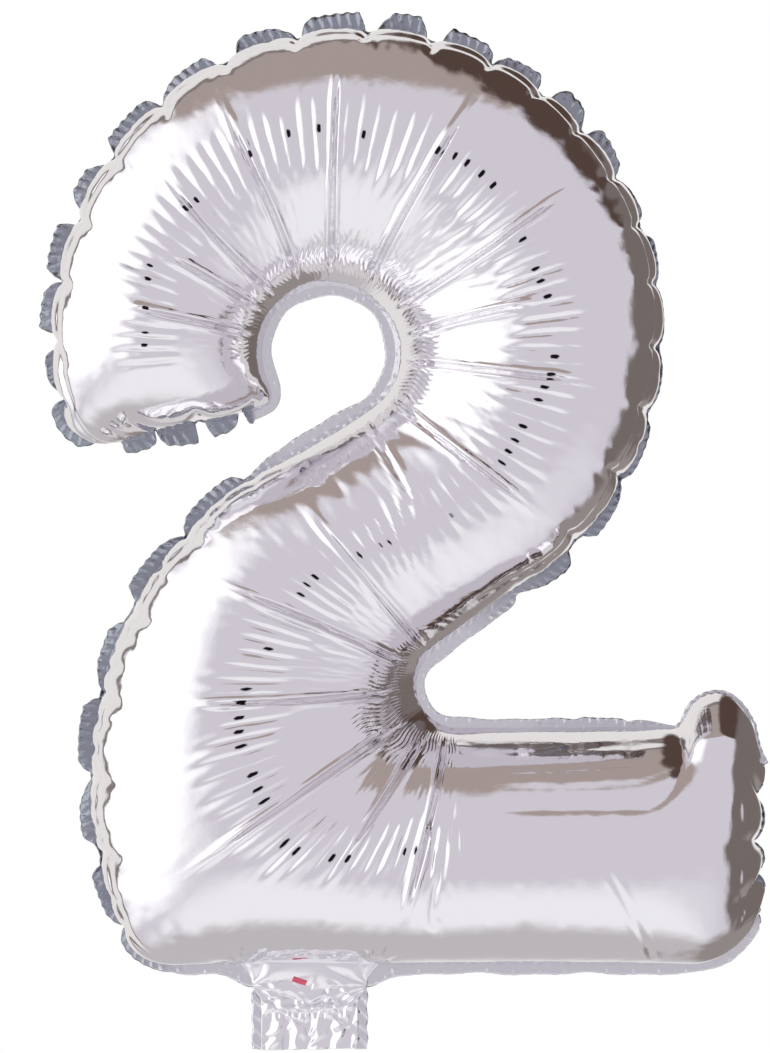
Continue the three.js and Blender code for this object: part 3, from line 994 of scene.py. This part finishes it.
def ink_dash():
    """The red dash printed on the front of the neck, a little aslant."""
    low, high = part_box("fill_mark")
    rows, columns = 5, 12
    middle = np.array([(low.x + high.x) / 2, (low.z + high.z) / 2]) / MM
    table = np.zeros((rows, columns, 3))
    for row, up in enumerate(np.linspace(0.8, -0.8, rows)):
        for column, out in enumerate(np.linspace(-2.3, 2.3, columns)):
            x = middle[0] + out + 0.5 * up
            below = FOOT_BOTTOM - (middle[1] + up - 0.32 * out)
            table[row, column] = x, SEAM_Y - tail_relief(x, below, -1) - 0.18, FOOT_BOTTOM - below
    obj, _, _ = sheet_from("ink_dash", table * MM, table[..., [0, 2]] * MM)
    face_towards(obj, (0, -1, 0))
    thicken(obj, 0.05 * MM)
    wear(obj, ink_finish)
    cross_the_fold(obj)
    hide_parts("fill_mark")


def tail_seal(name, side, node_name):
    """One of the tail's sealed edges: a hatched strip, slightly wavy."""
    low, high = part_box(node_name)
    rows, columns = 60, 8
    table = np.zeros((rows, columns, 3))
    lengths = np.zeros((rows, columns, 2))
    for row, z in enumerate(np.linspace(high.z / MM, low.z / MM, rows)):
        x = np.linspace(low.x / MM, high.x / MM, columns)
        reach = np.abs(x - (TAIL_X[0] + TAIL_X[1]) / 2) / 19.5
        table[row, :, 0] = x + side * 0.25 * math.sin(z * 0.9)
        table[row, :, 1] = SEAM_Y + 0.3 * np.sin(z * 1.3 + x) * reach
        table[row, :, 2] = z
        lengths[row, :, 0] = x * MM
        lengths[row, :, 1] = z * MM
    obj, _, _ = sheet_from(name, table * MM, lengths)
    thicken(obj, 0.5 * MM)
    wear(obj, sealed_finish)
    cross_the_fold(obj)
    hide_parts(node_name)
    return obj


def valve_ply(name, node_name, body):
    """A loose ply of the valve, softly rippled inside the space of its solid."""
    low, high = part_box(node_name)
    rows, columns = 36, 24
    table = np.zeros((rows, columns, 3))
    lengths = np.zeros((rows, columns, 2))
    for row, z in enumerate(np.linspace(high.z, low.z, rows)):
        x = np.linspace(low.x, high.x, columns)
        ripple = 0.12 * MM * np.sin(x / MM * 0.8) * np.sin(z / MM * 0.35)
        table[row, :, 0] = x
        table[row, :, 1] = (low.y + high.y) / 2 + ripple
        table[row, :, 2] = z
        lengths[row, :, 0] = x
        lengths[row, :, 1] = z
    obj, _, _ = sheet_from(name, table, lengths)
    thicken(obj, 0.1 * MM)
    wear(obj, valve_finish)
    if body == "tail":
        cross_the_fold(obj)
    else:
        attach(obj, body)
    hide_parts(node_name)
    return obj


tail_front = tail_film("tail_front", -1)
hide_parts("tail_front_film")
tail_back = tail_film("tail_back", 1)
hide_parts("tail_back_film")
tail_seal("tail_seal_left", -1, "tail_seam_left")
tail_seal("tail_seal_right", 1, "tail_seam_right")
valve_ply("valve_inlet_front", "valve_inlet_front_ply", "tail")
valve_ply("valve_inlet_back", "valve_inlet_back_ply", "tail")
valve_ply("valve_leaf_front", "valve_front_leaf", "valve_front")
valve_ply("valve_leaf_back", "valve_back_leaf", "valve_back")
ink_dash()

# ---------------------------------------------------------------- camera, lights and floor

VIEW_CENTRE = Vector((-0.0079, 0, 0.0002))
VIEW_DISTANCE = 2.0
VIEW_HEIGHT = 0.356
SENSOR = 36

bpy.ops.object.camera_add(
    location=(VIEW_CENTRE.x, SEAM_Y * MM - VIEW_DISTANCE, VIEW_CENTRE.z),
    rotation=(math.radians(90), 0, 0),
)
camera = bpy.context.object
camera.data.sensor_width = SENSOR
camera.data.lens = SENSOR * VIEW_DISTANCE / VIEW_HEIGHT
bpy.context.scene.camera = camera

FLOOR_DROP = 0.9  # below the middle of the balloon, which hangs in the air
bpy.ops.mesh.primitive_plane_add(size=6, location=(0, 0, -FLOOR_DROP))
floor = bpy.context.object
floor.name = "floor"
floor_finish, floor_tree = blank("white_seamless_paper")
speckle = node(
    floor_tree,
    "ShaderNodeTexNoise",
    Vector=node(floor_tree, "ShaderNodeTexCoord").outputs["Object"],
    Scale=40.0,
)
paper = node(
    floor_tree,
    "ShaderNodeBsdfPrincipled",
    Base_Color=colour("#F4F3F1"),
    Roughness=0.9,
    Normal=node(
        floor_tree, "ShaderNodeBump", Strength=0.05, Distance=0.001, Height=speckle.outputs[0]
    ).outputs[0],
)
node(floor_tree, "ShaderNodeOutputMaterial", Surface=paper.outputs[0])
wear(floor, floor_finish)
floor.visible_glossy = False

ROOM_ZONES = [
    # direction, cosine where it starts, cosine where it is full, colour, brightness
    ((-1, -0.35, 0.12), 0.58, 0.9, "#FFFFFF", 1.4),
    ((0.5, -0.45, -0.72), 0.82, 0.97, "#E8E5EB", 1.0),
    ((0, -0.45, -1), 0.7, 0.93, "#F6F6F8", 1.06),
    ((0, 0.1, 1), 0.7, 0.81, "#B3A59F", 0.95),
    ((0, 1, 0), 0.22, 0.28, "#857D7A", 1.0),
    ((0, 1, 0), 0.32, 0.4, "#F1EFEC", 1.0),
    ((0, 0.35, -1), 0.74, 0.93, "#C9C5C7", 1.0),
    ((0.62, 0.28, 0.7), 0.8, 0.88, "#57463F", 1.0),
    ((1, 0.5, -0.05), 0.74, 0.85, "#7A716D", 1.0),
    ((0.55, 0.5, -0.68), 0.86, 0.95, "#9A928F", 1.0),
]


def room():
    """The studio the foil mirrors: a grey room with a white wall, a taupe ceiling and a dark side."""
    world = bpy.data.worlds.new("studio_room")
    bpy.context.scene.world = world
    world.use_nodes = True
    tree = world.node_tree
    tree.nodes.clear()
    way = node(tree, "ShaderNodeTexCoord").outputs["Generated"]
    tone = colour("#DBD7DE")
    for direction, start, full, code, brightness in ROOM_ZONES:
        towards = Vector(direction).normalized()
        zone_colour = tuple(c * brightness for c in colour(code)[:3]) + (1,)
        facing = node(tree, "ShaderNodeVectorMath", {"operation": "DOT_PRODUCT"}, _0=way, _1=towards)
        amount = node(
            tree,
            "ShaderNodeMapRange",
            {"interpolation_type": "SMOOTHSTEP"},
            Value=facing.outputs["Value"],
            From_Min=start,
            From_Max=full,
        )
        mixed = node(
            tree, "ShaderNodeMix", {"data_type": "RGBA"}, Factor=amount.outputs[0], _7=zone_colour
        )
        if isinstance(tone, tuple):
            mixed.inputs[6].default_value = tone
        else:
            tree.links.new(tone, mixed.inputs[6])
        tone = mixed.outputs[2]
    lit = node(tree, "ShaderNodeBackground", Color=tone, Strength=1.0)
    plain = node(tree, "ShaderNodeBackground", Color=(1, 1, 1, 1), Strength=1.0)
    seen = node(tree, "ShaderNodeLightPath").outputs["Is Camera Ray"]
    both = node(tree, "ShaderNodeMixShader", _0=seen, _1=lit.outputs[0], _2=plain.outputs[0])
    node(tree, "ShaderNodeOutputWorld", Surface=both.outputs[0])


room()
bpy.context.scene.view_settings.view_transform = "Standard"


def softbox(name, location, size, power, tint):
    bpy.ops.object.light_add(type="AREA", location=location)
    lamp = bpy.context.object
    lamp.name = name
    lamp.data.shape = "RECTANGLE"
    lamp.data.size, lamp.data.size_y = size
    lamp.data.energy = power
    lamp.data.color = colour(tint)[:3]
    lamp.rotation_euler = (-Vector(location)).to_track_quat("-Z", "Y").to_euler()
    lamp.visible_camera = False
    return lamp


# The foil mirrors the room's soft zones, so the lamps' hard outlines are kept out of it
for lamp in (
    softbox("floor_wash", (0.0, 0.4, 1.6), (2.0, 2.0), 45, "#FFFDFC"),
    softbox("window_side", (-2.2, -1.2, 0.3), (1.6, 2.4), 12, "#FFFDFA"),
):
    lamp.visible_glossy = False
